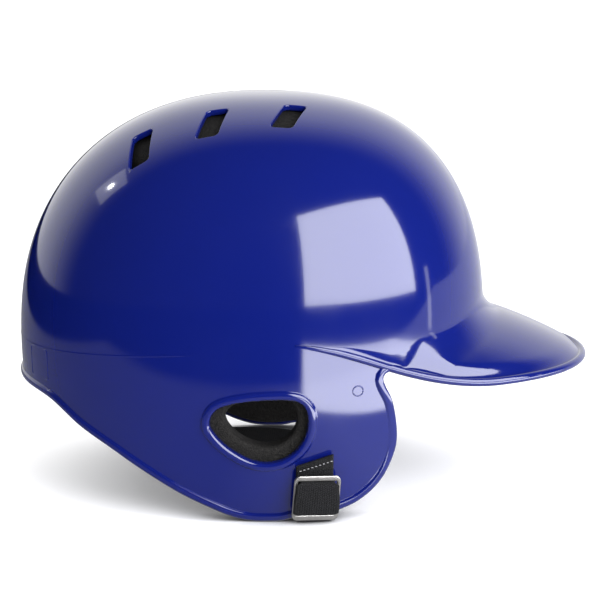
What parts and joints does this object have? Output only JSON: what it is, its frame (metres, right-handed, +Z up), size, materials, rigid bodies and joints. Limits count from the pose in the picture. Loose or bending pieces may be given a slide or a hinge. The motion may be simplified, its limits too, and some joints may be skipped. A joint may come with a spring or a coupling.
{
  "type": "batting helmet",
  "caption": "Glossy royal blue batting helmet with two ear flaps, a curved brim, slanted crown vents, dark foam liner pads and a black webbing chin strap with a metal slide.",
  "frame": {"origin": "under the middle of the helmet, at the level of the ear flaps' lowest edge", "axes": "+X forward along the brim, +Y towards the wearer's left, +Z up"},
  "size_m": [0.3052, 0.2062, 0.2073],
  "materials": {
    "shell_plastic": "glossy moulded royal blue",
    "liner_foam": "closed-cell foam, matt dark grey",
    "strap_webbing": "woven black webbing",
    "bright_metal": "satin nickel plated"
  },
  "bodies": {
    "helmet": {"shell": "shell_plastic", "crown_pad": "liner_foam", "front_pad": "liner_foam", "rear_pad": "liner_foam", "left_temple_pad": "liner_foam", "right_temple_pad": "liner_foam", "left_ear_pad": "liner_foam", "right_ear_pad": "liner_foam", "right_strap": "strap_webbing", "right_rivet": "bright_metal", "right_washer": "bright_metal", "left_strap": "strap_webbing", "snap_stud": "bright_metal", "left_washer": "bright_metal"},
    "slide": {"tri_glide": "bright_metal", "glide_loop": "strap_webbing"},
    "chin": {"chin_strap": "strap_webbing"},
    "tab": {"left_strap_tab": "strap_webbing", "snap_cap": "bright_metal", "snap_socket": "bright_metal"}
  },
  "joints": [
    {"name": "slide_adjust", "type": "slide", "parent": "helmet", "child": "slide", "axis": [0.0344, -0.1831, 0.9825], "range_m": [0, 0.004]},
    {"name": "chin_swing", "type": "hinge", "parent": "helmet", "child": "chin", "pos_m": [0.0056, 0, 0.00085], "axis": [0, 1, 0], "range_deg": [-150, 60]},
    {"name": "tab_open", "type": "hinge", "parent": "helmet", "child": "tab", "pos_m": [0.0056, 0.09589, 0.00685], "axis": [-0.9847, 0.1702, -0.0367], "range_deg": [0, 110]}
  ]
}
